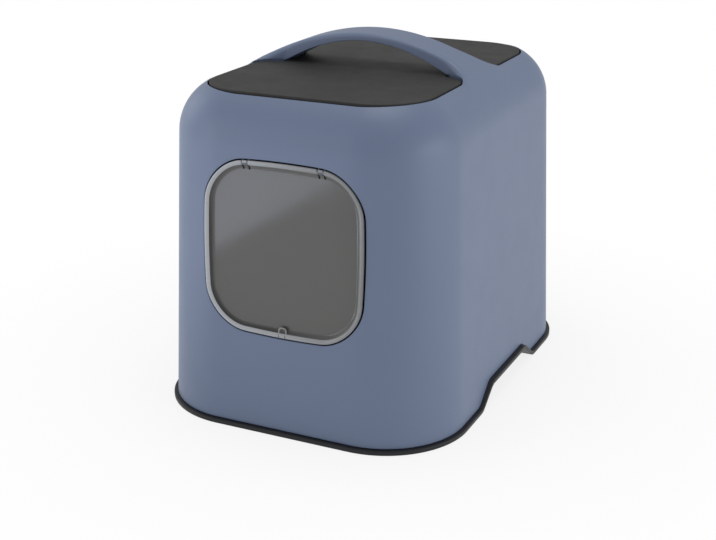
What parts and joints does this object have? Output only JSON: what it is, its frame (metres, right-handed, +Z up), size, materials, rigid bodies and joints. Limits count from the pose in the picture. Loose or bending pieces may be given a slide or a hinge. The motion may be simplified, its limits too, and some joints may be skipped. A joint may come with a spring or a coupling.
{
  "type": "hooded litter box",
  "caption": "Hooded cat litter box: drafted shell with an arched handle and flat roof panel, a dished swing flap in front, and a pan with a ledge and side grip notches.",
  "frame": {"origin": "on the floor, under the middle of the box", "axes": "+X to the right as seen from the flap, +Y to the rear (the flap is on the -Y side), +Z up"},
  "size_m": [0.4004, 0.5344, 0.452],
  "materials": {
    "tray": "satin moulded plastic, near black",
    "hood": "satin moulded plastic, blue grey",
    "roof_panel": "fine textured plastic, anthracite",
    "flap": "polished smoked translucent plastic",
    "flap_rim": "light grey satin plastic",
    "pin": "plain steel",
    "magnet": "dull nickel",
    "filter_case": "satin plastic, anthracite",
    "filter_foam": "carbon foam"
  },
  "bodies": {
    "pan": {"litter_tray": "tray"},
    "hood": {"hood": "hood", "roof_panel": "roof_panel", "hinge_bracket_left": "hood", "hinge_bracket_right": "hood", "hinge_pin_left": "pin", "hinge_pin_right": "pin", "sill_magnet": "magnet", "filter_cassette": "filter_case", "carbon_filter": "filter_foam"},
    "flap": {"door_flap": "flap", "flap_rim": "flap_rim", "flap_magnet": "magnet"},
    "grille": {"filter_grille": "filter_case"}
  },
  "joints": [
    {"name": "hood_lift", "type": "slide", "parent": "pan", "child": "hood", "axis": [0, 0, 1], "range_m": [0, 0.12]},
    {"name": "flap_swing", "type": "hinge", "parent": "hood", "child": "flap", "pos_m": [0, -0.24699, 0.33295], "axis": [1, 0, 0], "range_deg": [-60, 75]},
    {"name": "filter_grille_hinge", "type": "hinge", "parent": "hood", "child": "grille", "pos_m": [0, 0.062, 0.3864], "axis": [1, 0, 0], "range_deg": [0, 90]}
  ]
}
